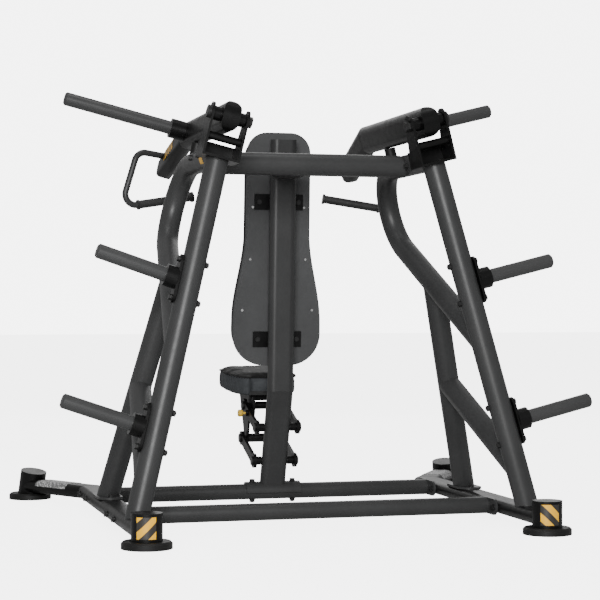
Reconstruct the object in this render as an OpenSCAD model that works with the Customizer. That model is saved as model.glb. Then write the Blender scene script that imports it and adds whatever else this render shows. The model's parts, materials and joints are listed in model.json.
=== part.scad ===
// Plate-loaded overhead press machine: two leaning side frames, a central column
// with a backrest and a height-adjustable seat, and two lever arms with plate horns.
// Millimetres. X: left (+) and right (-) of the seated user, -Y: front, +Z: up.
// Origin: on the floor, in the middle of the feet.

/* [Overall] */
// Distance from the middle of the machine to the centre line of each base rail
rail_x = 686; // [620:1:760]
// Front to back distance between the foot posts
base_depth = 1565; // [1460:5:1700]
// Inward lean of both side frames, in degrees
lean = 14; // [12:0.5:16]
// How far the front feet stand outside the rear feet
toe_out = 195; // [140:5:240]
// Front to back length of the splayed front part of each rail
toe_depth = 320; // [260:5:360]

/* [Tubes] */
// Outer diameter of the frame tubes
tube_d = 80; // [70:1:90]
// Wall of the frame tubes
tube_wall = 3; // [2:0.5:6]
// Width of the flat oval tube used for rails and column
oval_w = 100; // [84:1:120]
// Thickness of the flat oval tube
oval_h = 50; // [40:1:56]
// Diameter of the two cross bars on the floor
cross_d = 60; // [48:1:64]
// Height of the rails' centre line above the floor
rail_z = 54; // [50:1:64]
// Thickness of the mounting plates
plate_t = 8; // [6:0.5:12]

/* [Side frame] */
// Y of the rear leg's centre line where it meets the rail
rear_leg_foot_y = 602; // [560:1:640]
// Y of the rear leg's centre line under the pivot bracket
rear_leg_top_y = 471; // [440:1:500]
// Height of the rear leg's top, measured along the leaning frame
leg_top = 1308; // [1200:1:1400]
// Y of the front leg's centre line at the rail
front_leg_foot_y = -26; // [-80:1:20]
// Backward slope of the front leg
front_leg_slope = 0.2531; // [0.2:0.001:0.3]
// Height of the bent tube's level part, measured along the frame
bent_top = 1325; // [1316:1:1334]
// Bend radius of the bent tube's centre line
bent_r = 165; // [150:1:190]
// Y of the bend's centre
bent_y = 26; // [0:1:60]
// Downward slope of the bent tube's straight part, in degrees
bent_slope = 30.5; // [27:0.5:34]
// Height at which the brace meets the front leg
brace_front = 496; // [440:1:540]
// Height at which the brace meets the rear leg
brace_rear = 213; // [180:1:260]

/* [Cross members] */
// Y of the rear cross bar
rear_bar_y = 355; // [300:1:400]
// Y of the front cross bar
front_bar_y = -308; // [-340:1:-280]
// Y of the top bar
top_bar_y = 267; // [220:1:300]
// Half distance between the bolts of a base flange
flange_bolt_y = 78; // [60:1:90]
// Half distance between the bolts of a top bar flange
top_bolt_y = 62; // [55:1:75]
// Bolt diameter
bolt_d = 12; // [8:1:14]

/* [Feet] */
// Diameter of the foot posts
post_d = 102; // [90:1:108]
// Height of the foot posts above the floor
post_top = 114; // [100:1:130]
// Diameter of the rubber feet
foot_d = 166; // [140:1:180]
// Thickness of the rubber feet
foot_h = 24; // [16:1:28]
// Backward tilt of the front foot posts, in degrees
front_post_tilt = 12; // [0:0.5:14]

/* [Column and backrest] */
// Y of the column's centre line at its top
column_top_y = -130; // [-150:1:-110]
// Height of the column
column_top = 1400; // [1360:1:1460]
// Y of the column's centre line at its kink
column_kink_y = -183; // [-200:1:-165]
// Height of the kink
column_kink = 451; // [430:1:480]
// Width of the backrest at its top
back_top_w = 248; // [220:1:280]
// Width of the backrest near its bottom
back_low_w = 344; // [300:1:380]
// Distance from the kink to the backrest's lower edge, along the column
back_low = 88; // [76:1:110]
// Distance from the kink to the backrest's upper edge, along the column
back_high = 980; // [900:1:1020]
// Thickness of the backrest's board
board_t = 18; // [12:1:24]
// Thickness of the backrest pad
back_pad_t = 62; // [45:1:70]
// Gap between the column and the board, filled by the brackets
back_gap = 39; // [30:1:48]

/* [Press arms] */
// Y of the arm pivot
pivot_y = 496; // [480:1:510]
// Height of the arm pivot, measured along the frame
pivot_h = 1457; // [1440:1:1500]
// Diameter of the pivot pin
pin_d = 25; // [20:1:30]
// Outer diameter of the plain bearings
bearing_d = 32; // [30:1:36]
// Length of each plain bearing
bearing_len = 22; // [15:1:30]
// Outer diameter of the arm's hub
hub_d = 48; // [46:1:56]
// Width across the inside of the pivot bracket
bracket_gap = 116; // [100:1:130]
// Depth of the arm's oval section
arm_h = 106; // [90:1:110]
// Width of the arm's oval section
arm_w = 60; // [50:1:70]
// Wall of the arm
arm_wall = 4; // [3:0.5:6]
// Y of the arm's bend
arm_bend_y = -200; // [-240:1:-160]
// Downward slope of the arm's front part, in degrees
arm_slope = 17; // [12:0.5:20]
// Y of the arm's front end centre
arm_end_y = -500; // [-520:1:-460]
// Running clearance around pins, on the radius
run_gap = 0.05; // [0.02:0.01:0.1]

/* [Plate horns] */
// Diameter of the plate sleeves
sleeve_d = 50; // [48:0.5:50]
// Distance from the frame's middle plane to the end of a storage horn
storage_reach = 331; // [280:1:360]
// Distance from the frame's middle plane to the end of an arm horn
arm_horn_reach = 491; // [430:1:520]
// Diameter of the storage collars
collar_d = 75; // [64:1:84]
// Heights of the storage horns, measured along the frame
low_horn_h = 372; // [340:1:420]
// Height of the upper storage horn, measured along the frame
high_horn_h = 880; // [840:1:940]
// Half distance between the two bolts of a storage horn
horn_bolt = 67; // [56:1:74]
// Extra upward tilt of the left storage horns, in degrees
left_horn_tilt = 5; // [0:0.5:6]
// Extra upward tilt of the right storage horns, in degrees
right_horn_tilt = 0; // [0:0.5:6]
// Y of the arm horns
arm_horn_y = -129; // [-150:1:-100]

/* [Handles] */
// Diameter of the handle tube
handle_d = 25; // [20:1:30]
// Diameter of the grips
grip_d = 33; // [30:1:38]
// Bend radius of the handle tube
handle_r = 42; // [38:1:48]
// Turn of the handle's plane about the vertical, in degrees
handle_turn = 10; // [5:1:15]

/* [Seat] */
// Length of the seat links between their pivots
link_len = 215; // [200:1:240]
// Upward angle of the seat links, in degrees
link_angle = 19.8; // [15:0.2:22]
// Height of the upper link's pivot on the column
link_high = 307; // [295:1:320]
// Height of the lower link's pivot on the column
link_low = 176; // [165:1:190]
// Diameter of the link shafts
shaft_d = 20; // [16:1:24]
// Half distance between the link plates' inner faces
link_x = 74; // [72:1:84]
// Thickness of the link plates
link_t = 12; // [8:1:14]
// Diameter of the link plates' round ends
link_end_d = 55; // [44:1:60]
// Half distance between the carrier plates' inner faces
carrier_x = 58; // [56:1:60]
// Thickness of the carrier plates
carrier_t = 8; // [6:1:10]
// Width of the seat
seat_w = 286; // [250:1:320]
// Depth of the seat
seat_l = 340; // [300:1:370]
// Thickness of the seat's board
seat_board_t = 15; // [12:1:20]
// Thickness of the seat pad
seat_pad_t = 66; // [50:1:80]
// Y of the seat's rear edge
seat_rear_y = -367; // [-380:1:-362]
// Height of the seat board's underside at its rear edge
seat_rear_z = 421; // [418:1:430]
// Upward tilt of the seat, in degrees
seat_tilt = 5; // [3:0.5:7]

/* [Hidden] */
$fn = 64;

rear_y = base_depth / 2;
front_y = -base_depth / 2;
front_x = rail_x + toe_out;
bend_y = front_y + toe_depth;
toe_angle = atan(toe_out / toe_depth);
toe_len = norm([toe_out, toe_depth]);
rail_top = rail_z + oval_h / 2;
rail_in = rail_x - oval_w / 2;
rail_out = rail_x + oval_w / 2;
plane_x = rail_x + rail_top * tan(lean);
tube_r = tube_d / 2;
bolt_hole = bolt_d + 0.6;
head_h = 8;
washer_t = 2;
head_d = bolt_d * 1.7;
washer_d = bolt_d * 2;
far = 3000;

// Points in the leaning plane are [Y, height along the plane].
function leg_y(h) = rear_leg_foot_y + (rear_leg_top_y - rear_leg_foot_y) * (h - rail_h) / (leg_top - rail_h);
function front_y_at(h) = front_leg_foot_y + front_leg_slope * (h - rail_h);
function in_plane_x(h) = plane_x - h * sin(lean);
rail_h = rail_top / cos(lean);
leg_slope = (leg_y(0) - leg_y(leg_top)) / leg_top;
leg_tilt = atan(leg_slope);
bent_back = bent_r * tan((180 - bent_slope) / 2);
bent_corner = [bent_y - bent_back, bent_top];
// The height where the bent tube's straight part crosses the rear leg's centre line
bent_foot_h = (bent_corner[1] - tan(bent_slope) * (leg_y(0) - bent_corner[0])) / (1 - tan(bent_slope) * leg_slope);
bent_foot = [leg_y(bent_foot_h), bent_foot_h];
bracket_out = bracket_gap / 2 + plate_t;
bracket_r = 36;
bracket_front = rear_leg_top_y - 58;
arm_bend = [arm_bend_y, pivot_h];
arm_end = [arm_end_y, pivot_h - (arm_bend_y - arm_end_y) * tan(arm_slope)];
top_bar_z = bent_top * cos(lean) - (tube_r + plate_t / 2) * sin(lean);
column_foot = [front_bar_y + 3, rail_z + cross_d / 2];
column_bend = [column_kink_y, column_kink];
column_head = [column_top_y, column_top];
saddle_d = cross_d + 2 * plate_t;
horn_plate = plate_t + 2;
end_chamfer = 6;

// Points across the middle plane of the machine are [Y, Z].
function column_y(z) = column_bend[0]
    + (column_foot[0] - column_bend[0]) * (column_bend[1] - z) / (column_bend[1] - column_foot[1]);
link_dir = [-cos(link_angle), sin(link_angle)];
rear_high = [column_y(link_high), link_high];
rear_low = [column_y(link_low), link_low];
front_high = rear_high + link_len * link_dir;
front_low = rear_low + link_len * link_dir;
link_out = link_x + link_t;
lock_r = 75;
lock_d = 10;
lock_step = 12;
lock_travel = 9;
lock_housing = 8;
knob_x = link_out + lock_housing + lock_travel + 1;
seat_half = seat_w / 2;
seat_rear_half = seat_half * 0.55;
seat_curve = 150;

// Shapes shared by many pieces

// A flat oval; its straight sides lie a hair inside its round ends
module oval(w, h) {
    square([w - h, h - 0.1], center = true);
    for (s = [-1, 1]) translate([s * (w - h) / 2, 0]) circle(d = h);
}

module left_plane() {
    translate([plane_x, 0, 0]) rotate([0, -lean, 0]) children();
}

module mirrored() {
    mirror([1, 0, 0]) children();
}

module both_sides() {
    children();
    mirrored() children();
}

// Stands +Z along the line from a to b, both given as [Y, Z]
module along(a, b) {
    translate([0, a[0], a[1]]) rotate([atan2(b[1] - a[1], b[0] - a[0]) - 90, 0, 0]) children();
}

module plane_tube(a, b, d) {
    along(a, b) cylinder(d = d, h = norm(b - a));
}

// Turns a flat drawing in X and Y upright, into Y and Z, with its thickness along X
module upright() {
    rotate([90, 0, 90]) children();
}

function unit(v) = v / norm(v);
function heading(v) = atan2(v[1], v[0]);
function turn(a, b, c) = let (t = heading(c - b) - heading(b - a)) t > 180 ? t - 360 : t < -180 ? t + 360 : t;
function setback(p, i, r) = i == 0 || i == len(p) - 1 ? 0 : r * tan(abs(turn(p[i - 1], p[i], p[i + 1])) / 2);

// A round tube bent at each inner point of the flat route p, with a fine bead where each bend begins and ends
module bent_run(p, r, d) {
    for (i = [1 : 1 : len(p) - 2]) for (q = [p[i - 1], p[i + 1]]) {
        way = unit(q - p[i]);
        translate(p[i] + way * (setback(p, i, r) - 1)) rotate([0, 0, heading(way)]) rotate([0, 90, 0])
            cylinder(d = d + 0.4, h = 2);
    }
    for (i = [0 : len(p) - 2]) {
        way = unit(p[i + 1] - p[i]);
        start = p[i] + way * setback(p, i, r);
        run = norm(p[i + 1] - p[i]) - setback(p, i, r) - setback(p, i + 1, r);
        translate(start) rotate([0, 0, heading(way)]) rotate([0, 90, 0]) cylinder(d = d, h = run);
    }
    for (i = [1 : 1 : len(p) - 2]) {
        way = unit(p[i] - p[i - 1]);
        bend = turn(p[i - 1], p[i], p[i + 1]);
        side = sign(bend);
        middle = p[i] - way * setback(p, i, r) + side * r * [-way[1], way[0]];
        first = heading(way) - side * 90 - (side < 0 ? abs(bend) : 0);
        translate(middle) rotate([0, 0, first]) rotate_extrude(angle = abs(bend)) translate([r, 0]) circle(d = d);
    }
}

// A straight flat oval tube along +X, with its size in the XY plane and its size along Z
module section_run(in_plane, across, length) {
    rotate([0, 90, 0]) linear_extrude(length) {
        if (in_plane > across) rotate(90) oval(in_plane, across);
        else oval(across, in_plane);
    }
}

// A flat oval tube along the flat route p, mitred at its middle point with a fine weld bead around the joint
module mitred_run(p, in_plane, across) {
    bend = turn(p[0], p[1], p[2]);
    normal = heading(p[1] - p[0]) + bend / 2;
    difference() {
        translate(p[0]) rotate([0, 0, heading(p[1] - p[0])])
            section_run(in_plane, across, norm(p[1] - p[0]) + in_plane / 2);
        translate(p[1]) rotate([0, 0, normal]) translate([-0.3, -200, -200]) cube(400);
    }
    difference() {
        translate(p[2]) rotate([0, 0, heading(p[1] - p[2])])
            section_run(in_plane, across, norm(p[2] - p[1]) + in_plane / 2);
        translate(p[1]) rotate([0, 0, normal]) translate([0.3 - 400, -200, -200]) cube(400);
    }
    translate(p[1]) rotate([0, 0, normal]) translate([-1, 0, 0])
        section_run((in_plane + 0.8) / cos(bend / 2), across + 0.8, 2);
}

// A bolt's head and shank: the clamped face is at 0, the head is above it
module bolt(len) {
    cylinder(d = washer_d, h = washer_t);
    translate([0, 0, washer_t]) cylinder(d = head_d, h = head_h, $fn = 6);
    translate([0, 0, -len]) cylinder(d = bolt_d, h = len);
}

// A washer and nut above a clamped face at 0
module nut() {
    difference() {
        union() {
            cylinder(d = washer_d, h = washer_t);
            translate([0, 0, washer_t]) cylinder(d = head_d, h = head_h, $fn = 6);
        }
        translate([0, 0, -1]) cylinder(d = bolt_d + 0.2, h = head_h + washer_t + 2);
    }
}

nut_reach = washer_t + head_h + 2;

// Base

rail_route = [
    [rail_x, rear_y], [rail_x, bend_y],
    [front_x, front_y] - rail_z * tan(front_post_tilt) * [sin(toe_angle), -cos(toe_angle)]
];

module rail_body(w, h) {
    translate([0, 0, rail_z]) mitred_run(rail_route, w, h);
}

module flange_bolts_at(y) {
    for (s = [-1, 1]) translate([0, y + s * flange_bolt_y, rail_z]) rotate([0, 90, 0]) children();
}

module foot_axis(front) {
    if (front)
        translate([front_x, front_y, 0]) rotate([0, 0, toe_angle]) rotate([-front_post_tilt, 0, 0]) children();
    else
        translate([rail_x, rear_y, 0]) children();
}

module post_envelope() {
    for (front = [false, true]) foot_axis(front) translate([0, 0, -20]) cylinder(d = post_d, h = 300);
}

module base_rail() {
    difference() {
        rail_body(oval_w, oval_h);
        rail_body(oval_w - 2 * tube_wall, oval_h - 2 * tube_wall);
        post_envelope();
        for (y = [rear_bar_y, front_bar_y]) flange_bolts_at(y) cylinder(d = bolt_hole, h = far);
        leg_flange_bolts() translate([0, 0, -60]) cylinder(d = bolt_hole, h = 100);
    }
}

module foot_posts() {
    for (front = [false, true]) difference() {
        foot_axis(front) difference() {
            translate([0, 0, -20]) cylinder(d = post_d, h = post_top + 20);
            translate([0, 0, -21]) cylinder(d = post_d - 10, h = post_top + 21 - 6);
        }
        translate([0, 0, foot_h - far]) linear_extrude(far) square(2 * far, center = true);
    }
}

module rubber_foot() {
    difference() {
        union() {
            cylinder(d = foot_d, h = foot_h - 6);
            translate([0, 0, foot_h - 6]) cylinder(d1 = foot_d, d2 = foot_d - 12, h = 6);
        }
        translate([0, 0, -1]) cylinder(d = foot_d - 50, h = 5);
    }
}

module end_flange(length, height) {
    upright() linear_extrude(plate_t) oval(length, height);
}

module cross_bar(y) {
    reach = rail_in - plate_t;
    flange_l = 2 * flange_bolt_y + 44;
    difference() {
        union() {
            translate([-reach, y, rail_z]) rotate([0, 90, 0]) cylinder(d = cross_d, h = 2 * reach);
            for (s = [-1, 1]) translate([s * (reach + plate_t / 2) - plate_t / 2, y, rail_z])
                end_flange(flange_l, oval_h + 8);
        }
        translate([-reach, y, rail_z]) rotate([0, 90, 0]) cylinder(d = cross_d - 2 * tube_wall, h = 2 * reach);
        flange_bolts_at(y) cylinder(d = bolt_hole, h = 2 * far, center = true);
        if (y == front_bar_y) saddle_bolts() cylinder(d = bolt_hole, h = 200, center = true);
    }
}

// A film wrapped over the upper half of a splayed rail end
module floor_grip_pad() {
    length = toe_len - 190;
    translate([rail_x, bend_y, rail_z]) rotate([0, 0, toe_angle - 90]) translate([95, 0, 0]) difference() {
        section_run(oval_w + 3, oval_h + 3, length);
        translate([-10, 0, 0]) section_run(oval_w + 0.1, oval_h + 0.1, length + 20);
        translate([-10, -oval_w, 6 - far]) cube([length + 20, 2 * oval_w, far]);
    }
}

// Side frames

module rear_leg_solid(d) {
    low = rail_h - 30;
    plane_tube([leg_y(low), low], [leg_y(leg_top + 40), leg_top + 40], d);
}

module rear_leg() {
    difference() {
        left_plane() difference() {
            rear_leg_solid(tube_d);
            rear_leg_solid(tube_d - 2 * tube_wall);
            translate([-100, -far / 2, leg_top]) cube([200, far, 200]);
            horn_bolts(low_horn_h) cylinder(d = bolt_hole, h = 200, center = true);
            horn_bolts(high_horn_h) cylinder(d = bolt_hole, h = 200, center = true);
        }
        rail_body(oval_w, oval_h);
    }
}

function front_leg_point(h) = [front_y_at(h), h];

module front_leg_solid(d) {
    plane_tube(front_leg_point(0), front_leg_point(bent_top), d);
}

module leg_flange_bolts() {
    for (s = [-1, 1]) translate([rail_x, front_leg_foot_y + s * 78, rail_top + plate_t]) children();
}

module front_leg() {
    difference() {
        union() {
            difference() {
                left_plane() difference() {
                    front_leg_solid(tube_d);
                    front_leg_solid(tube_d - 2 * tube_wall);
                    bent_tube_solid(tube_d);
                    above_bent_tube();
                }
                translate([rail_x - 200, -far / 2, -100]) cube([400, far, 100 + rail_top + plate_t]);
            }
            translate([rail_x, front_leg_foot_y, rail_top]) linear_extrude(plate_t) rotate(90) oval(204, 92);
        }
        leg_flange_bolts() cylinder(d = bolt_hole, h = 60, center = true);
    }
}

// Everything above the straight part of the bent tube
module above_bent_tube() {
    along(bent_foot, bent_corner) translate([-100, -1, 0]) cube([200, far, far]);
}

bent_route = [[rear_leg_top_y, bent_top], bent_corner, bent_foot];

module bent_tube_solid(d) {
    upright() bent_run(bent_route, bent_r, d);
}

module bent_tube() {
    left_plane() difference() {
        bent_tube_solid(tube_d);
        bent_tube_solid(tube_d - 2 * tube_wall);
        rear_leg_solid(tube_d);
        translate([-bracket_out, bracket_front, leg_top]) cube([2 * bracket_out, 200, 100]);
        top_bolts() cylinder(d = bolt_hole, h = 200, center = true);
    }
}

module brace() {
    low = [leg_y(brace_rear), brace_rear];
    high = front_leg_point(brace_front);
    left_plane() difference() {
        plane_tube(low, high, tube_d);
        plane_tube(low, high, tube_d - 2 * tube_wall);
        rear_leg_solid(tube_d);
        front_leg_solid(tube_d);
    }
}

module top_bolts() {
    for (s = [-1, 1]) translate([0, top_bar_y + s * top_bolt_y, bent_top]) rotate([0, 90, 0]) children();
}

module top_bar() {
    difference() {
        translate([-far / 2, top_bar_y, top_bar_z]) rotate([0, 90, 0]) cylinder(d = tube_d, h = far);
        translate([-far / 2, top_bar_y, top_bar_z]) rotate([0, 90, 0]) cylinder(d = tube_d - 2 * tube_wall, h = far);
        both_sides() left_plane() translate([-tube_r - plate_t, -far / 2, 0]) cube([far, far, far]);
    }
    both_sides() left_plane() difference() {
        translate([-tube_r - plate_t, top_bar_y, bent_top]) end_flange(2 * top_bolt_y + 40, 66);
        top_bolts() cylinder(d = bolt_hole, h = 200, center = true);
    }
}

module top_link_tube() {
    length = top_bar_y - column_top_y;
    difference() {
        translate([0, column_top_y - 20, top_bar_z]) rotate([-90, 0, 0]) linear_extrude(length) oval(oval_w, oval_h);
        translate([0, column_top_y - 21, top_bar_z]) rotate([-90, 0, 0]) linear_extrude(length + 2)
            oval(oval_w - 2 * tube_wall, oval_h - 2 * tube_wall);
        translate([-far / 2, top_bar_y, top_bar_z]) rotate([0, 90, 0]) cylinder(d = tube_d, h = far);
        column_part(column_bend, column_head, 0);
        column_front_space();
    }
}

// Everything in front of the column's upper part
module column_front_space() {
    along(column_bend, column_head) translate([-far / 2, 1 - far, 0]) cube([far, far, far]);
}

// Column

module column_part(a, b, wall) {
    along(a, b) linear_extrude(norm(b - a)) oval(oval_w - 2 * wall, oval_h - 2 * wall);
}

module column_run(wall) {
    upright() mitred_run([column_foot, column_bend, column_head], oval_h - 2 * wall, oval_w - 2 * wall);
}

module saddle_bolts() {
    for (s = [-1, 1]) translate([s * 80, front_bar_y, rail_z]) children();
}

module column_saddle() {
    difference() {
        translate([-108, front_bar_y, rail_z]) rotate([0, 90, 0]) cylinder(d = saddle_d, h = 216);
        translate([-far / 2, front_bar_y, rail_z]) rotate([0, 90, 0]) cylinder(d = cross_d, h = far);
        translate([-far / 2, front_bar_y - far / 2, rail_z - 3 - far]) cube(far);
        saddle_bolts() cylinder(d = bolt_hole, h = 200, center = true);
    }
}

module column() {
    difference() {
        column_run(0);
        difference() {
            column_run(tube_wall);
            along(column_bend, column_head)
                translate([-oval_w, -oval_h, norm(column_head - column_bend) - tube_wall])
                cube([2 * oval_w, 2 * oval_h, 20]);
        }
        translate([-far / 2, front_bar_y, rail_z]) rotate([0, 90, 0]) cylinder(d = saddle_d - 0.1, h = far);
        for (p = [rear_high, rear_low]) across(p) cylinder(d = shaft_d + 0.1, h = far, center = true);
    }
    column_saddle();
}

// Stands +Z along X through the point p, given as [Y, Z]
module across(p) {
    translate([0, p[0], p[1]]) rotate([0, 90, 0]) children();
}

// Arm pivots

module bracket_plate() {
    difference() {
        upright() linear_extrude(plate_t) {
            polygon([
                [bracket_front, leg_top], [pivot_y + bracket_r, leg_top],
                [pivot_y + bracket_r, pivot_h], [pivot_y - bracket_r, pivot_h]
            ]);
            translate([pivot_y, pivot_h]) circle(r = bracket_r);
        }
    }
}

rod_d = 28;
rod_h = pivot_h - arm_h / 2 - rod_d / 2 - 10;

module pivot_bracket() {
    left_plane() difference() {
        union() {
            for (x = [-bracket_out, bracket_gap / 2]) translate([x, 0, 0]) bracket_plate();
            translate([-bracket_out, bracket_front, leg_top])
                cube([2 * bracket_out, pivot_y + bracket_r - bracket_front, plate_t]);
            translate([-bracket_out, bracket_front, leg_top]) cube([2 * bracket_out, plate_t, 60]);
            across([pivot_y, rod_h]) cylinder(d = rod_d, h = bracket_gap + plate_t, center = true);
        }
        across([pivot_y, pivot_h]) cylinder(d = pin_d + 0.1, h = 400, center = true);
    }
}

module pivot_pin() {
    left_plane() across([pivot_y, pivot_h]) {
        translate([0, 0, -bracket_out]) cylinder(d = pin_d, h = 2 * bracket_out);
        translate([0, 0, bracket_out]) cylinder(d = pin_d * 1.8, h = 12);
        translate([0, 0, -bracket_out - 16]) cylinder(d = pin_d * 1.6, h = 16, $fn = 6);
    }
}

// Arms

module arm_prism(w, h, rear, front) {
    tip = arm_end + unit(arm_end - arm_bend) * front;
    upright() mitred_run([[pivot_y + rear, pivot_h], arm_bend, tip], h, w);
}

// Side outline of the arm, with a round end about the pivot and another at the handle
module arm_outline() {
    round_r = arm_h / 2 + 0.4;
    slope_dir = unit(arm_end - arm_bend);
    upright() linear_extrude(arm_w + 20, center = true) {
        for (p = [[pivot_y, pivot_h], arm_end]) translate(p) circle(r = round_r);
        polygon([
            [pivot_y, pivot_h + 90], arm_bend + [0, 90], arm_end + 90 * [slope_dir[1], -slope_dir[0]],
            arm_end - 90 * [slope_dir[1], -slope_dir[0]], arm_bend - [0, 90], [pivot_y, pivot_h - 90]
        ]);
    }
}

module arm_envelope() {
    intersection() {
        arm_prism(arm_w, arm_h, arm_h / 2 + 10, arm_h / 2 + 10);
        arm_outline();
    }
}

module press_arm() {
    left_plane() difference() {
        union() {
            difference() {
                arm_envelope();
                arm_prism(arm_w - 2 * arm_wall, arm_h - 2 * arm_wall, -36, 0);
            }
            across([pivot_y, pivot_h]) cylinder(d = hub_d, h = bracket_gap - 4, center = true);
        }
        across([pivot_y, pivot_h]) cylinder(d = bearing_d, h = 400, center = true);
        across([arm_horn_y, pivot_h]) cylinder(d = sleeve_d, h = 200);
    }
}

module arm_bearings() {
    hub_half = bracket_gap / 2 - 2;
    left_plane() across([pivot_y, pivot_h]) for (z = [-hub_half, hub_half - bearing_len])
        translate([0, 0, z]) difference() {
            cylinder(d = bearing_d, h = bearing_len);
            translate([0, 0, -1]) cylinder(r = pin_d / 2 + run_gap, h = bearing_len + 2);
        }
}

// A plate sleeve along +Z from z0 to z1, closed at its outer end
module sleeve(z0, z1) {
    difference() {
        union() {
            translate([0, 0, z0]) cylinder(d = sleeve_d, h = z1 - z0 - end_chamfer);
            translate([0, 0, z1 - end_chamfer]) cylinder(d1 = sleeve_d, d2 = sleeve_d - 12, h = end_chamfer);
        }
        translate([0, 0, z0 - 1]) cylinder(d = sleeve_d - 2 * arm_wall, h = z1 - z0 - 11);
    }
}

module weight_horn() {
    collar_end = 86;
    left_plane() difference() {
        across([arm_horn_y, pivot_h]) difference() {
            union() {
                sleeve(4, arm_horn_reach);
                translate([0, 0, 10]) cylinder(d = collar_d - 2, h = collar_end - 10);
            }
            translate([0, 0, 3]) cylinder(d = sleeve_d - 2 * arm_wall, h = arm_horn_reach - 24);
        }
        difference() {
            arm_envelope();
            across([arm_horn_y, pivot_h]) cylinder(d = sleeve_d, h = 200);
        }
    }
}

// The handle hangs in an upright plane through the arm's front end
handle_x = in_plane_x(arm_end[1]);
handle_z = arm_end[1] * cos(lean);
handle_y = arm_end_y - 19;
handle_route = [[0, handle_z + 35], [121, handle_z + 52], [190, handle_z - 169], [-101, handle_z - 122]];
grip_dir = unit(handle_route[3] - handle_route[2]);
grip_start = handle_route[2] + grip_dir * 76;
grip_len = norm(handle_route[3] - grip_start);

module handle_plane() {
    translate([handle_x, handle_y, 0]) rotate([0, 0, handle_turn]) rotate([90, 0, 0]) children();
}

module handle() {
    difference() {
        handle_plane() difference() {
            bent_run(handle_route, handle_r, handle_d);
            bent_run(handle_route, handle_r, handle_d - 5);
        }
        left_plane() arm_envelope();
    }
}

module grip_axis() {
    handle_plane() translate(grip_start) rotate([0, 0, heading(grip_dir)]) rotate([0, 90, 0]) children();
}

module grip() {
    grip_axis() difference() {
        cylinder(d = grip_d, h = grip_len);
        translate([0, 0, -1]) cylinder(d = handle_d, h = grip_len + 2);
    }
}

module grip_rings() {
    grip_axis() difference() {
        translate([0, 0, -7]) cylinder(d = grip_d + 6, h = 7);
        translate([0, 0, -8]) cylinder(d = handle_d, h = 9);
    }
    grip_axis() translate([0, 0, grip_len]) cylinder(d = grip_d + 8, h = 9);
}

module stop_bumper() {
    left_plane() difference() {
        translate([0, bent_y + 12, bent_top]) cylinder(d = 42, h = pivot_h - arm_h / 2 - bent_top - 0.4);
        bent_tube_solid(tube_d);
    }
}

module arm_label() {
    left_plane() difference() {
        translate([0, arm_end_y + 118, arm_end[1] + 118 * tan(arm_slope) + 8]) rotate([arm_slope, 0, 0])
            translate([0, -62, -22]) cube([arm_w / 2 + 1, 124, 44]);
        arm_envelope();
    }
}

// Storage horns

// The two bolt axes of a storage horn, outward along +Z
module horn_bolts(h) {
    translate([0, leg_y(h), h]) rotate([leg_tilt, 0, 0]) for (s = [-1, 1])
        translate([0, 0, s * horn_bolt]) rotate([0, 90, 0]) children();
}

module storage_horn(h, tilt) {
    face = tube_r + horn_plate;
    left_plane() difference() {
        translate([0, leg_y(h), h]) rotate([leg_tilt, 0, 0]) {
            translate([tube_r, 0, 0]) upright() linear_extrude(horn_plate) rotate(90) oval(2 * horn_bolt + 34, 58);
            translate([face, 0, 0]) rotate([0, 90 - tilt, 0]) difference() {
                union() {
                    translate([0, 0, -4]) cylinder(d = collar_d, h = 42);
                    sleeve(0, storage_reach - face);
                }
                translate([0, 0, 4]) cylinder(d = sleeve_d - 2 * arm_wall, h = storage_reach - face - 15);
            }
        }
        translate([tube_r - 50, -far / 2, 0]) cube([50, far, far]);
        horn_bolts(h) cylinder(d = bolt_hole, h = 400);
    }
}

// Fasteners

module side_bolts(left) {
    for (y = [rear_bar_y, front_bar_y]) flange_bolts_at(y) translate([0, 0, rail_out])
        bolt(oval_w + plate_t + nut_reach);
    leg_flange_bolts() bolt(oval_h + plate_t - tube_wall);
    left_plane() {
        for (h = [low_horn_h, high_horn_h]) horn_bolts(h) translate([0, 0, tube_r + horn_plate])
            bolt(tube_d + horn_plate + nut_reach);
        top_bolts() translate([0, 0, tube_r]) bolt(tube_d + plate_t + nut_reach);
    }
}

module side_nuts() {
    for (y = [rear_bar_y, front_bar_y]) flange_bolts_at(y) translate([0, 0, rail_in - plate_t])
        rotate([180, 0, 0]) nut();
    left_plane() {
        for (h = [low_horn_h, high_horn_h]) horn_bolts(h) translate([0, 0, -tube_r]) rotate([180, 0, 0]) nut();
        top_bolts() translate([0, 0, -tube_r - plate_t]) rotate([180, 0, 0]) nut();
    }
}

// Backrest, drawn along the column's upper part

module back_frame() {
    along(column_bend, column_head) children();
}

back_mid_low = 240;
back_mid_high = 610;
back_face = -oval_h / 2 - back_gap;

function back_half(z) = let (t = max(0, min(1, (back_mid_high - z) / (back_mid_high - back_mid_low))))
    back_top_w / 2 + (back_low_w - back_top_w) / 2 * (1 - cos(180 * t)) / 2;

function arc_points(c, r, a0, a1, n) = [for (i = [0 : n]) c + r * [cos(a0 + (a1 - a0) * i / n), sin(a0 + (a1 - a0) * i / n)]];

top_corner = 78;
low_corner = 122;
back_right = concat(
    arc_points([back_low_w / 2 - low_corner, back_low + low_corner], low_corner, -90, 0, 10),
    [for (i = [1 : 11]) let (z = back_mid_low + (back_mid_high - back_mid_low) * i / 12) [back_half(z), z]],
    arc_points([back_top_w / 2 - top_corner, back_high - top_corner], top_corner, 0, 90, 8)
);
back_outline = concat(back_right, [for (i = [len(back_right) - 1 : -1 : 0]) [-back_right[i][0], back_right[i][1]]]);

// A slab with the backrest's outline, from y0 forward by t
module back_slab(y0, t) {
    back_frame() translate([0, y0, 0]) rotate([90, 0, 0]) linear_extrude(t) polygon(back_outline);
}

bracket_z = [190, 715];
bracket_bolt_x = 77;

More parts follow.
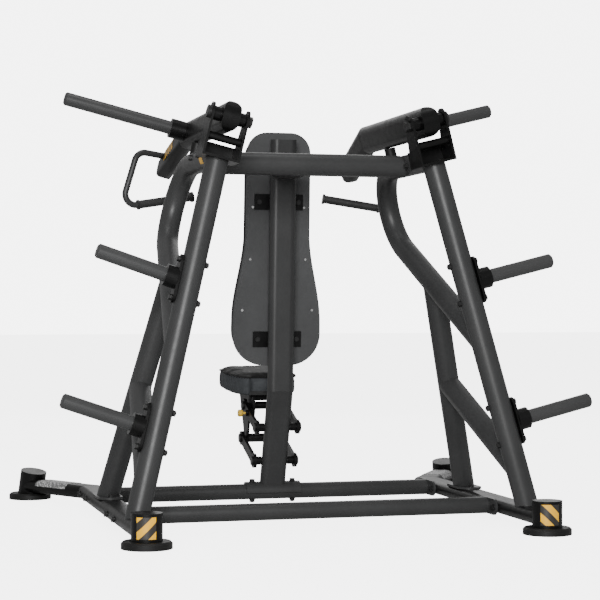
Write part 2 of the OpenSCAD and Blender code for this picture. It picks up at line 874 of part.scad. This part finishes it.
module backrest_brackets() {
    back_frame() for (z = bracket_z) translate([0, back_face, z]) difference() {
        union() {
            translate([-95, 0, -30]) cube([190, 6, 60]);
            translate([-34, 6, -26]) cube([68, back_gap - 6, 52]);
        }
        translate([-28, 5, -27]) cube([56, back_gap, 54]);
        for (s = [-1, 1]) translate([s * bracket_bolt_x, 0, 0]) rotate([90, 0, 0]) cylinder(d = 8.6, h = 40, center = true);
    }
}

screw_places = [[101, 695], [109, 496], [138, 301]];

module backrest_screws() {
    back_frame() for (s = [-1, 1]) for (p = screw_places) translate([s * p[0], back_face, p[1]])
        rotate([-90, 0, 0]) cylinder(d = 9, h = 2);
}

module backrest_bolts() {
    back_frame() for (s = [-1, 1]) for (z = bracket_z) translate([s * bracket_bolt_x, back_face + 6, z])
        rotate([-90, 0, 0]) {
            cylinder(d = 18, h = 5);
            translate([0, 0, -16]) cylinder(d = 8, h = 16);
        }
}

module backrest_board() {
    difference() {
        back_slab(back_face, board_t);
        back_frame() for (s = [-1, 1]) for (z = bracket_z) translate([s * bracket_bolt_x, back_face, z])
            rotate([90, 0, 0]) cylinder(d = 8.6, h = 22, center = true);
    }
}

// Seat

module seat_frame() {
    translate([0, seat_rear_y, seat_rear_z]) rotate([-seat_tilt, 0, 0]) children();
}

seat_front_r = 70;
seat_right = concat(
    [for (i = [0 : 10]) [
        seat_rear_half + (seat_half - seat_rear_half) * sin(9 * i), -seat_curve * (1 - cos(9 * i))
    ]],
    arc_points([seat_half - seat_front_r, -seat_l + seat_front_r], seat_front_r, 0, -90, 8)
);
seat_outline = concat(seat_right, [for (i = [len(seat_right) - 1 : -1 : 0]) [-seat_right[i][0], seat_right[i][1]]]);

seat_board_outline = [for (p = seat_outline) [p[0] * 0.88, (p[1] + seat_l / 2) * 0.9 - seat_l / 2]];

// The board is let into the underside of the pad
module seat_board() {
    seat_frame() linear_extrude(seat_board_t) polygon(seat_board_outline);
}

module seat_pad() {
    seat_frame() difference() {
        linear_extrude(seat_board_t + seat_pad_t) polygon(seat_outline);
        translate([0, 0, -1]) linear_extrude(seat_board_t + 1) polygon(seat_board_outline);
    }
}

// The point at distance r from the carrier's upper pivot, towards lock hole number i
function lock_way(i, r) = front_high + r * [cos(lock_step * i - link_angle), sin(lock_step * i - link_angle)];

module carrier_plate() {
    difference() {
        upright() linear_extrude(carrier_t) difference() {
            union() {
                polygon([
                    front_high + [24, 4], front_high + [18, 60], front_high + [-150, 74],
                    front_high + [-150, 44], front_low + [-24, 4], front_low + [20, -12]
                ]);
                for (p = [front_high, front_low]) translate(p) circle(r = 25);
                intersection() {
                    translate(front_high) circle(r = lock_r + 13);
                    polygon([
                        front_high, lock_way(-1.8, 150), lock_way(1, 200), lock_way(3.8, 150)
                    ]);
                }
            }
        }
        across(front_high) cylinder(r = shaft_d / 2 + run_gap, h = 400, center = true);
        across(front_low) cylinder(r = shaft_d / 2 + 0.6, h = 400, center = true);
        seat_frame() translate([-200, -400, 0]) cube([400, 500, 100]);
        for (i = [-1 : 3]) across(lock_way(i, lock_r)) cylinder(d = lock_d, h = 400, center = true);
    }
}

module seat_carrier() {
    difference() {
        union() {
            for (x = [-carrier_x - carrier_t, carrier_x]) translate([x, 0, 0]) carrier_plate();
            across(front_high) cylinder(d = 30, h = 2 * carrier_x + 2, center = true);
            seat_frame() difference() {
                translate([-carrier_x - 1, -240, -26]) cube([2 * carrier_x + 2, 190, 26]);
                translate([-200, -234, -60]) cube([400, 178, 54]);
            }
        }
        across(front_high) cylinder(r = shaft_d / 2 + run_gap, h = 400, center = true);
    }
}

module link_plate(a, b) {
    along(a, b) rotate([0, 90, 0]) linear_extrude(link_t) {
        for (x = [0, -norm(b - a)]) translate([x, 0]) circle(d = link_end_d);
        translate([-norm(b - a), -19]) square([norm(b - a), 38]);
    }
}

module link(a, b) {
    difference() {
        union() {
            for (x = [-link_out, link_x]) translate([x, 0, 0]) link_plate(a, b);
            for (x = [-link_x, oval_w / 2 + 2]) translate([x, 0, 0]) across(a)
                cylinder(d = 32, h = link_x - oval_w / 2 - 2);
        }
        across(a) cylinder(r = shaft_d / 2 + run_gap, h = 400, center = true);
        across(b) cylinder(d = shaft_d + 0.1, h = 400, center = true);
    }
}

lock_point = front_high + lock_r * -link_dir;

module upper_link() {
    difference() {
        union() {
            link(rear_high, front_high);
            across(lock_point) translate([0, 0, link_out]) cylinder(d = 24, h = lock_housing);
        }
        across(lock_point) cylinder(r = lock_d / 2 - 0.3 + run_gap, h = 200);
    }
}

module shaft(p) {
    across(p) {
        cylinder(d = shaft_d, h = 2 * link_out, center = true);
        for (s = [-1, 1]) translate([0, 0, s * (link_out + 3.5)]) cylinder(d = shaft_d * 1.7, h = 6, center = true);
    }
}

module pull_pin() {
    across(lock_point) {
        translate([0, 0, carrier_x + carrier_t + 0.5])
            cylinder(r = lock_d / 2 - 0.3, h = knob_x - carrier_x - carrier_t + 4);
        translate([0, 0, knob_x]) cylinder(d1 = 20, d2 = 28, h = 6);
        translate([0, 0, knob_x + 6]) cylinder(d = 28, h = 10);
        translate([0, 0, knob_x + 16]) cylinder(d1 = 28, d2 = 22, h = 3);
    }
}

// Labels

module hazard_post_label(side) {
    translate([side * rail_x, rear_y, 0]) intersection() {
        difference() {
            cylinder(d = post_d + 1.6, h = 200);
            translate([0, 0, -1]) cylinder(d = post_d, h = 202);
        }
        rotate([0, 0, -12]) translate([-31, 0, 34]) cube([62, 100, 70]);
    }
}

module bent_tube_label() {
    left_plane() intersection() {
        difference() {
            plane_tube([rear_leg_top_y, bent_top], [bent_y, bent_top], tube_d + 1.6);
            plane_tube([rear_leg_top_y, bent_top], [bent_y, bent_top], tube_d);
        }
        translate([10, bracket_front - 70, bent_top - 38]) cube([60, 46, 66]);
    }
}

// Pieces

color("#2b2b2c") base_rail();  // left_base_rail
color("#2b2b2c") mirrored() base_rail();  // right_base_rail
color("#1d1d1e") foot_posts();  // left_foot_posts
color("#1d1d1e") mirrored() foot_posts();  // right_foot_posts
color("#161616")  // rubber_feet
    both_sides() for (p = [[rail_x, rear_y], [front_x, front_y]]) translate(p) rubber_foot();
color("#3a3b3c") cross_bar(rear_bar_y);  // rear_cross_bar
color("#3a3b3c") cross_bar(front_bar_y);  // front_cross_bar
color("#454647") rear_leg();  // left_rear_leg
color("#454647") mirrored() rear_leg();  // right_rear_leg
color("#3a3b3c") front_leg();  // left_front_leg
color("#3a3b3c") mirrored() front_leg();  // right_front_leg
color("#404142") bent_tube();  // left_bent_tube
color("#404142") mirrored() bent_tube();  // right_bent_tube
color("#454647") brace();  // left_brace
color("#454647") mirrored() brace();  // right_brace
color("#454647") top_bar();
color("#3a3b3c") top_link_tube();
color("#4a4b4c") column();
color("#1d1d1e") pivot_bracket();  // left_pivot_bracket
color("#1d1d1e") mirrored() pivot_bracket();  // right_pivot_bracket
color("#2b2b2c") pivot_pin();  // left_pivot_pin
color("#2b2b2c") mirrored() pivot_pin();  // right_pivot_pin
color("#1a1b1c") press_arm();  // left_press_arm
color("#1a1b1c") mirrored() press_arm();  // right_press_arm
color("#8a6a3a") arm_bearings();  // left_arm_bearings
color("#8a6a3a") mirrored() arm_bearings();  // right_arm_bearings
color("#3a3b3c") weight_horn();  // left_weight_horn
color("#3a3b3c") mirrored() weight_horn();  // right_weight_horn
color("#3a3b3c") handle();  // left_handle
color("#3a3b3c") mirrored() handle();  // right_handle
color("#303132") grip();  // left_grip
color("#303132") mirrored() grip();  // right_grip
color("#48494a") grip_rings();  // left_grip_rings
color("#48494a") mirrored() grip_rings();  // right_grip_rings
color("#161616") both_sides() stop_bumper();  // stop_bumpers
color("#3a3b3c") storage_horn(low_horn_h, left_horn_tilt);  // left_low_storage_horn
color("#3a3b3c") storage_horn(high_horn_h, left_horn_tilt);  // left_high_storage_horn
color("#3a3b3c")  // right_low_storage_horn
    mirrored() storage_horn(low_horn_h, right_horn_tilt);
color("#3a3b3c")  // right_high_storage_horn
    mirrored() storage_horn(high_horn_h, right_horn_tilt);
color("#2b2b2c") {  // frame_bolts
    both_sides() side_bolts();
    saddle_bolts() translate([0, 0, saddle_d / 2]) bolt(saddle_d / 2 + cross_d / 2 + nut_reach);
}
color("#2b2b2c") {  // frame_nuts
    both_sides() side_nuts();
    saddle_bolts() translate([0, 0, -cross_d / 2]) rotate([180, 0, 0]) nut();
}
color("#55585a") backrest_board();
color("#1c1d1e") back_slab(back_face - board_t, back_pad_t);  // backrest_pad
color("#2b2b2c") backrest_brackets();
color("#b0b2b4") backrest_screws();
color("#2b2b2c") backrest_bolts();
color("#484c4f") seat_pad();
color("#222324") seat_board();
color("#1d1d1e") seat_carrier();
color("#1d1d1e") upper_link();
color("#1d1d1e") link(rear_low, front_low);  // lower_link
color("#55585a") for (p = [rear_high, rear_low]) shaft(p);  // column_pivot_shafts
color("#55585a") shaft(front_high);  // upper_link_shaft
color("#55585a") {  // lower_link_shaft
    shaft(front_low);
    across(front_low) cylinder(d = 34, h = 2 * carrier_x - 4, center = true);
}
color("#d8b030") pull_pin();
color("#e0b040") {  // hazard_labels
    for (side = [-1, 1]) hazard_post_label(side);
    both_sides() bent_tube_label();
}
color("#e0b040") arm_label();  // left_arm_label
color("#e0b040") mirrored() arm_label();  // right_arm_label
color("#a8aaac") both_sides() floor_grip_pad();  // floor_grip_pads
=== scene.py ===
import json
import math

import bmesh
import bpy
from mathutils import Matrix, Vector


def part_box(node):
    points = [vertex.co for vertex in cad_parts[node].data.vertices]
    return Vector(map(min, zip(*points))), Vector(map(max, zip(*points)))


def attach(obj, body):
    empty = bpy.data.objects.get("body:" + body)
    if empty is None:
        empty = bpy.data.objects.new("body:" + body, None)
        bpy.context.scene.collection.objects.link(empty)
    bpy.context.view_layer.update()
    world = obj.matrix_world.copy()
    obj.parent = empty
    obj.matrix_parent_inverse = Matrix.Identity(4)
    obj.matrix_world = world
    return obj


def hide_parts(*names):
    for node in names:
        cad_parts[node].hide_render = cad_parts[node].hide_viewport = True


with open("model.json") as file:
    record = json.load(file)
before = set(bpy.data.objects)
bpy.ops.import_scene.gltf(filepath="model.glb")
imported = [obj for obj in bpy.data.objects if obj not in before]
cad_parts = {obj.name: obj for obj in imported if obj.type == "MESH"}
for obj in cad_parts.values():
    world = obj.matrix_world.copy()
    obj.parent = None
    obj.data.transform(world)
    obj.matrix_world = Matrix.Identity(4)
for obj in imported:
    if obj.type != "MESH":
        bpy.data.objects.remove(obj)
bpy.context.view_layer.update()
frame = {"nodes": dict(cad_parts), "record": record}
nodes = frame["nodes"]
record = frame["record"]

# ---------------------------------------------------------------- materials


def new_material(name):
    """An empty node material with its shader joined to the output, and a coordinate node."""
    material = bpy.data.materials.new(name)
    material.use_nodes = True
    tree = material.node_tree
    tree.nodes.clear()
    output = tree.nodes.new("ShaderNodeOutputMaterial")
    shader = tree.nodes.new("ShaderNodeBsdfPrincipled")
    tree.links.new(shader.outputs["BSDF"], output.inputs["Surface"])
    coordinates = tree.nodes.new("ShaderNodeTexCoord")
    return material, tree, shader, coordinates


def noise(tree, coordinates, scale, detail=4.0):
    """A noise texture in the object's own metres."""
    texture = tree.nodes.new("ShaderNodeTexNoise")
    texture.inputs["Scale"].default_value = scale
    texture.inputs["Detail"].default_value = detail
    tree.links.new(coordinates.outputs["Object"], texture.inputs["Vector"])
    return texture.outputs["Fac"]


def ramp(tree, factor, stops):
    """Colours or greys spread over a 0 to 1 factor; stops are (place, colour)."""
    node = tree.nodes.new("ShaderNodeValToRGB")
    elements = node.color_ramp.elements
    while len(elements) < len(stops):
        elements.new(0.5)
    for element, (place, colour) in zip(elements, stops):
        element.position = place
        element.color = (*colour, 1.0)
    tree.links.new(factor, node.inputs["Fac"])
    return node.outputs["Color"]


def spread(tree, factor, low, high):
    """Maps the middle of a noise to a range of values."""
    node = tree.nodes.new("ShaderNodeMapRange")
    node.inputs["From Min"].default_value = 0.3
    node.inputs["From Max"].default_value = 0.7
    node.inputs["To Min"].default_value = low
    node.inputs["To Max"].default_value = high
    tree.links.new(factor, node.inputs["Value"])
    return node.outputs["Result"]


def bump(tree, shader, height, strength, distance):
    """Relief from a height; distance is in metres."""
    node = tree.nodes.new("ShaderNodeBump")
    node.inputs["Strength"].default_value = strength
    node.inputs["Distance"].default_value = distance
    tree.links.new(height, node.inputs["Height"])
    tree.links.new(node.outputs["Normal"], shader.inputs["Normal"])


def surface(name, dark, light, patch=6.0, rough=(0.4, 0.5), grain=900.0, depth=0.0002, strength=0.3,
            metallic=0.0, specular=0.35):
    """A finish whose colour and gloss drift in patches, over a fine grain."""
    material, tree, shader, coordinates = new_material(name)
    drift = noise(tree, coordinates, patch)
    tree.links.new(ramp(tree, drift, [(0.3, dark), (0.7, light)]), shader.inputs["Base Color"])
    gloss = noise(tree, coordinates, patch * 7)
    tree.links.new(spread(tree, gloss, *rough), shader.inputs["Roughness"])
    bump(tree, shader, noise(tree, coordinates, grain, 2.0), strength, depth)
    shader.inputs["Metallic"].default_value = metallic
    shader.inputs["Specular IOR Level"].default_value = specular
    return material


def grey(value, tint=0.0):
    """A grey that leans to blue with a positive tint."""
    return (value * (1 - tint), value, value * (1 + tint))


def leather(name, dark, light):
    """Synthetic leather: fine cells with creases between them."""
    material, tree, shader, coordinates = new_material(name)
    drift = noise(tree, coordinates, 14.0)
    tree.links.new(ramp(tree, drift, [(0.3, dark), (0.7, light)]), shader.inputs["Base Color"])
    tree.links.new(spread(tree, noise(tree, coordinates, 60.0), 0.6, 0.75), shader.inputs["Roughness"])
    cells = tree.nodes.new("ShaderNodeTexVoronoi")
    cells.feature = "DISTANCE_TO_EDGE"
    cells.inputs["Scale"].default_value = 420.0
    tree.links.new(coordinates.outputs["Object"], cells.inputs["Vector"])
    bump(tree, shader, cells.outputs["Distance"], 0.35, 0.0006)
    shader.inputs["Specular IOR Level"].default_value = 0.25
    return material


def speckled(name):
    """Anti-slip film: silver grit with dark gaps."""
    material, tree, shader, coordinates = new_material(name)
    cells = tree.nodes.new("ShaderNodeTexVoronoi")
    cells.inputs["Scale"].default_value = 130.0
    tree.links.new(coordinates.outputs["Object"], cells.inputs["Vector"])
    grit = [(0.12, grey(0.75)), (0.34, grey(0.34)), (0.55, grey(0.12))]
    colour = ramp(tree, cells.outputs["Distance"], grit)
    tree.links.new(colour, shader.inputs["Base Color"])
    tree.links.new(spread(tree, noise(tree, coordinates, 300.0), 0.35, 0.7), shader.inputs["Roughness"])
    bump(tree, shader, cells.outputs["Distance"], 0.8, -0.0012)
    return material


def striped(name, pitch, sideways, lengthways):
    """Yellow and black diagonal stripes, mirrored from side to side.

    The pitch is in metres. The stripes slope by sideways and by lengthways for each unit of height.
    """
    material, tree, shader, coordinates = new_material(name)
    split = tree.nodes.new("ShaderNodeSeparateXYZ")
    tree.links.new(coordinates.outputs["Object"], split.inputs["Vector"])

    def math_node(operation, first, second=None):
        node = tree.nodes.new("ShaderNodeMath")
        node.operation = operation
        for socket, value in zip(node.inputs, (first, second)):
            if isinstance(value, (int, float)):
                socket.default_value = value
            elif value is not None:
                tree.links.new(value, socket)
        return node.outputs["Value"]

    outward = math_node("MULTIPLY", math_node("ABSOLUTE", split.outputs["X"]), sideways)
    across = math_node("ADD", outward, math_node("MULTIPLY", split.outputs["Y"], lengthways))
    along = math_node("ADD", across, split.outputs["Z"])
    wave = math_node("FRACT", math_node("DIVIDE", along, pitch))
    yellow, black = (0.8, 0.42, 0.01), (0.02, 0.018, 0.015)
    stripes = [(0.0, yellow), (0.47, yellow), (0.5, black), (0.97, black), (1.0, yellow)]
    colour = ramp(tree, wave, stripes)
    tree.links.new(colour, shader.inputs["Base Color"])
    tree.links.new(spread(tree, noise(tree, coordinates, 40.0), 0.3, 0.42), shader.inputs["Roughness"])
    bump(tree, shader, noise(tree, coordinates, 500.0), 0.1, 0.0001)
    return material


finish = {
    "frame_paint": surface(
        "frame_paint", grey(0.026, 0.01), grey(0.032, 0.01), rough=(0.34, 0.42), specular=0.25),
    "black_paint": surface(
        "black_paint", grey(0.0025), grey(0.004), rough=(0.32, 0.4), specular=0.16),
    "sleeve_coat": surface(
        "sleeve_coat", grey(0.034, 0.01), grey(0.04, 0.01), rough=(0.3, 0.36), specular=0.25),
    "black_steel": surface(
        "black_steel", grey(0.014), grey(0.022), rough=(0.3, 0.45), metallic=0.4),
    "bright_steel": surface(
        "bright_steel", grey(0.45), grey(0.6), rough=(0.22, 0.36), metallic=1.0),
    "bronze": surface(
        "bronze", (0.32, 0.2, 0.08), (0.42, 0.27, 0.12), rough=(0.3, 0.45), metallic=1.0),
    "black_rubber": surface(
        "black_rubber", grey(0.004), grey(0.006), rough=(0.45, 0.6), grain=500.0, strength=0.5,
        specular=0.25),
    "grip_rubber": surface(
        "grip_rubber", grey(0.014), grey(0.019), rough=(0.5, 0.62), grain=650.0, strength=0.6),
    "ring_metal": surface(
        "ring_metal", grey(0.03), grey(0.04), rough=(0.3, 0.4), metallic=0.5),
    "grey_board": surface(
        "grey_board", grey(0.038, 0.02), grey(0.05, 0.02), rough=(0.5, 0.64), grain=420.0,
        strength=0.7, depth=0.0005),
    "black_board": surface(
        "black_board", grey(0.012), grey(0.02), rough=(0.5, 0.65), grain=200.0),
    "black_upholstery": leather("black_upholstery", grey(0.005), grey(0.008)),
    "grey_upholstery": leather("grey_upholstery", grey(0.04, 0.08), grey(0.05, 0.08)),
    "yellow_plastic": surface(
        "yellow_plastic", (0.6, 0.38, 0.04), (0.7, 0.45, 0.06), rough=(0.28, 0.36)),
    "hazard_film": striped("hazard_film", 0.058, 1.0, 0.0),
    "tread_film": speckled("tread_film"),
}

for part in record["subparts"]:
    mesh = nodes[part["node"]].data
    mesh.materials.clear()
    mesh.materials.append(finish[part["material_slot"]])

# Each horn's plate and collar, behind its sleeve's inner end, are black; only the sleeve is grey
SLEEVE_SLACK = 0.0005
for part in record["subparts"]:
    if part["node"].endswith("_horn"):
        mesh = nodes[part["node"]].data
        sleeve = part["node"].replace("_weight_horn", "_arm_horn").replace("_horn", "_sleeve")
        mount = next(m for m in record["mounts"] if m["name"] == sleeve)
        place, way = Vector(mount["pos_m"]), Vector(mount["axis"]).normalized()
        inner_end = -mount["dims"]["length_mm"] / 1000 / 2
        mesh.materials.append(finish["black_paint"])
        for polygon in mesh.polygons:
            if (polygon.center - place).dot(way) < inner_end - SLEEVE_SLACK:
                polygon.material_index = 1

# The arms' labels lie along the arms, so their stripes run lengthways
arm_film = striped("arm_film", 0.03, 0.0, 1.0)
for side in ("left", "right"):
    nodes[side + "_arm_label"].data.materials[0] = arm_film

# ---------------------------------------------------------------- cushions

WELT_RADIUS = 0.0022
VOXEL = 0.006
SIM_FRAMES = 20
SHRINK = 0.6            # share of the swelling that the starting block leaves room for
BACK_EDGE = 0.006       # depth of the straight edge beside the board
SEAM_REACH = 0.02       # how far inside the edge a vertex still belongs to the seam
WELT_OUT = 1.002        # the welt lies a hair outside the block's edge


def body_of(node):
    """The moving body that a node belongs to."""
    return next(body for body, members in record["behaviour"]["bodies"].items() if node in members)


def centre(node):
    """The middle of a node's box."""
    low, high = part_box(node)
    return (Vector(low) + Vector(high)) / 2


def facing(node, backing):
    """The direction a pad's broad face looks, away from the board behind it."""
    away = centre(node) - centre(backing)
    broad = max(nodes[node].data.polygons, key=lambda polygon: polygon.area).normal
    return broad if broad.dot(away) > 0 else -broad


def outline(node, normal):
    """The pad's edge as seen along its normal: points in order round the middle, at the back face."""
    middle = centre(node)
    side = normal.cross(Vector((1, 0, 0))).normalized()
    across = side.cross(normal).normalized()
    points = {}
    for vertex in nodes[node].data.vertices:
        offset = vertex.co - middle
        key = (round(offset.dot(across), 4), round(offset.dot(side), 4))
        points[key] = math.atan2(key[1], key[0])
    ordered = sorted(points, key=points.get)
    return [middle + across * u + side * w for u, w in ordered]


def welt(name, points, body, material):
    """A thin cord sewn along a seam."""
    curve = bpy.data.curves.new(name, "CURVE")
    curve.dimensions = "3D"
    curve.bevel_depth = WELT_RADIUS
    curve.bevel_resolution = 3
    spline = curve.splines.new("POLY")
    spline.points.add(len(points) - 1)
    for point, place in zip(spline.points, points):
        point.co = (*place, 1)
    spline.use_cyclic_u = True
    cord = bpy.data.objects.new(name, curve)
    bpy.context.scene.collection.objects.link(cord)
    curve.materials.append(material)
    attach(cord, body)
    return cord


def evaluated_copy(obj, name):
    """A new mesh object from obj with its modifiers applied."""
    graph = bpy.context.evaluated_depsgraph_get()
    mesh = bpy.data.meshes.new_from_object(obj.evaluated_get(graph))
    mesh.name = name
    copy = bpy.data.objects.new(name, mesh)
    bpy.context.scene.collection.objects.link(copy)
    bpy.data.objects.remove(obj)
    return copy


def nearest_gap(place, path, normal):
    """Distance from a place to a closed path, both flattened along the normal."""
    flat = place - normal * place.dot(normal)
    gaps = []
    for first, second in zip(path, path[1:] + path[:1]):
        first = first - normal * first.dot(normal)
        second = second - normal * second.dot(normal)
        run = second - first
        share = max(0.0, min(1.0, (flat - first).dot(run) / max(run.length_squared, 1e-12)))
        gaps.append((flat - first - run * share).length)
    return min(gaps)


def cushion(node, backing, cap, pressure, face_material, side_material, seam_share):
    """A sewn pad, blown up between its pinned seams from a block a little smaller than the CAD solid.

    cap is the most that a point may move, in metres; seam_share is the seam's place from back to front.
    """
    normal = facing(node, backing)
    middle = centre(node)
    edge = outline(node, normal)
    depths = [(vertex.co - middle).dot(normal) for vertex in nodes[node].data.vertices]
    back, front = min(depths), max(depths) - cap * SHRINK
    seam = back + (front - back) * seam_share
    half_width = max((p - middle).x for p in edge)
    inset = 1 - cap * SHRINK / half_width

    builder = bmesh.new()
    rings = []
    levels = [(back, 1.0), (back + BACK_EDGE, 1.0), (seam, 1.0), (front - 0.0005, 0.975), (front, 0.94)]
    for depth, scale in levels:
        places = [middle + (p - middle) * inset * scale + normal * depth for p in edge]
        rings.append([builder.verts.new(place) for place in places])
    for low, high in zip(rings, rings[1:]):
        for i in range(len(edge)):
            j = (i + 1) % len(edge)
            builder.faces.new((low[i], low[j], high[j], high[i]))
    builder.faces.new(rings[-1])
    builder.faces.new(list(reversed(rings[0])))
    bmesh.ops.recalc_face_normals(builder, faces=builder.faces)
    mesh = bpy.data.meshes.new(node + "_cushion")
    builder.to_mesh(mesh)
    builder.free()
    block = bpy.data.objects.new(node + "_block", mesh)
    bpy.context.scene.collection.objects.link(block)
    remesh = block.modifiers.new("remesh", "REMESH")
    remesh.mode = "VOXEL"
    remesh.voxel_size = VOXEL
    pad = evaluated_copy(block, node + "_cushion")

    pinned = pad.vertex_groups.new(name="pinned")
    for vertex in pad.data.vertices:
        depth = (vertex.co - middle).dot(normal)
        at_seam = abs(depth - seam) < VOXEL * 0.7 and nearest_gap(vertex.co, edge, normal) < SEAM_REACH
        if at_seam or depth < back + VOXEL * 1.5:
            pinned.add([vertex.index], 1.0, "REPLACE")
    rest = [vertex.co.copy() for vertex in pad.data.vertices]
    cloth = pad.modifiers.new("cloth", "CLOTH")
    settings = cloth.settings
    settings.quality = 6
    settings.mass = 0.3
    settings.tension_stiffness = 12
    settings.compression_stiffness = 8
    settings.bending_stiffness = 1.5
    settings.use_pressure = True
    settings.uniform_pressure_force = pressure
    settings.effector_weights.gravity = 0.0
    settings.vertex_group_mass = "pinned"
    settings.shrink_min = -0.02
    cloth.point_cache.frame_start = 1
    cloth.point_cache.frame_end = SIM_FRAMES
    scene = bpy.context.scene
    for step in range(1, SIM_FRAMES + 1):
        scene.frame_set(step)
    graph = bpy.context.evaluated_depsgraph_get()
    blown = pad.evaluated_get(graph).to_mesh()
    moved = [vertex.co.copy() for vertex in blown.vertices]
    pad.evaluated_get(graph).to_mesh_clear()
    pad.modifiers.remove(cloth)
    for vertex, start, end in zip(pad.data.vertices, rest, moved):
        shift = end - start
        if shift.length > cap:
            shift *= cap / shift.length
        vertex.co = start + shift
    scene.frame_set(1)
    smooth = pad.modifiers.new("smooth", "SMOOTH")
    smooth.iterations = 3
    smooth.factor = 0.5
    finer = pad.modifiers.new("finer", "SUBSURF")
    finer.levels = 1
    finer.render_levels = 1
    pad = evaluated_copy(pad, node + "_cushion")
    pad.data.materials.clear()
    pad.data.materials.append(side_material)
    pad.data.materials.append(face_material)
    for polygon in pad.data.polygons:
        polygon.use_smooth = True
        polygon.material_index = 1 if (polygon.center - middle).dot(normal) > seam else 0
    body = body_of(node)
    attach(pad, body)
    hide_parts(node)
    seam_path = [middle + (p - middle) * inset * WELT_OUT + normal * seam for p in edge]
    welt(node + "_welt", seam_path, body, face_material)


black_leather = finish["black_upholstery"]
cushion("backrest_pad", "backrest_board", 0.012, 3.0, black_leather, black_leather, 0.8)
cushion("seat_pad", "seat_board", 0.01, 2.5, black_leather, finish["grey_upholstery"], 0.9)

# ---------------------------------------------------------------- floor, light and camera

scene = bpy.context.scene


def flat_sheet(name, corners, material):
    """One flat face with a material."""
    mesh = bpy.data.meshes.new(name)
    mesh.from_pydata(corners, [], [tuple(range(len(corners)))])
    sheet = bpy.data.objects.new(name, mesh)
    scene.collection.objects.link(sheet)
    mesh.materials.append(material)
    return sheet


# The floor and the backdrop are bright to look at, but light the machine only softly
FLOOR_GLOW = 4.6
BACKDROP_LIGHT = 0.45
BACKDROP_GLOW = 6.0
FLOOR_HALF = 40.0

pale = surface("pale_floor", grey(0.6), grey(0.63), patch=0.5, rough=(0.5, 0.6), grain=60.0,
               strength=0.02)
glow = pale.node_tree.nodes["Principled BSDF"]
glow.inputs["Emission Color"].default_value = (1.0, 1.0, 1.0, 1.0)
floor_sight = pale.node_tree.nodes.new("ShaderNodeLightPath")
floor_strength = pale.node_tree.nodes.new("ShaderNodeMapRange")
floor_strength.inputs["To Max"].default_value = FLOOR_GLOW
pale.node_tree.links.new(floor_sight.outputs["Is Camera Ray"], floor_strength.inputs["Value"])
pale.node_tree.links.new(floor_strength.outputs["Result"], glow.inputs["Emission Strength"])
corners = [(x * FLOOR_HALF, y * FLOOR_HALF, 0) for x, y in ((-1, -1), (1, -1), (1, 1), (-1, 1))]
floor = flat_sheet("floor", corners, pale)


def area_light(name, place, target, size, power):
    """A square lamp of a size in metres and a power in watts, turned to a target."""
    data = bpy.data.lights.new(name, "AREA")
    data.shape = "SQUARE"
    data.size = size
    data.energy = power
    lamp = bpy.data.objects.new(name, data)
    scene.collection.objects.link(lamp)
    lamp.location = place
    lamp.rotation_euler = (Vector(target) - Vector(place)).to_track_quat("-Z", "Y").to_euler()


aim = (0.0, 0.0, 0.8)
area_light("key_light", (1.9, 5.6, 2.2), aim, 2.2, 430.0)
area_light("top_light", (0.4, 0.4, 4.6), aim, 2.0, 50.0)
area_light("front_light", (-1.5, -5.0, 3.0), aim, 4.0, 75.0)

world = bpy.data.worlds.new("studio")
scene.world = world
world.use_nodes = True
backdrop = world.node_tree.nodes["Background"]
backdrop.inputs["Color"].default_value = (1.0, 1.0, 1.0, 1.0)
sight = world.node_tree.nodes.new("ShaderNodeLightPath")
strength = world.node_tree.nodes.new("ShaderNodeMapRange")
strength.inputs["To Min"].default_value = BACKDROP_LIGHT
strength.inputs["To Max"].default_value = BACKDROP_GLOW
world.node_tree.links.new(sight.outputs["Is Camera Ray"], strength.inputs["Value"])
world.node_tree.links.new(strength.outputs["Result"], backdrop.inputs["Strength"])

camera_data = bpy.data.cameras.new("camera")
camera_data.lens = 106.2
camera_data.sensor_width = 36.0
camera_data.shift_y = 0.008
camera_data.clip_end = 100.0
camera = bpy.data.objects.new("camera", camera_data)
scene.collection.objects.link(camera)
camera.location = (1.677, 6.353, 0.776)
camera.rotation_euler = Vector((-0.2594, -0.9658, 0.0)).to_track_quat("-Z", "Y").to_euler()
scene.camera = camera
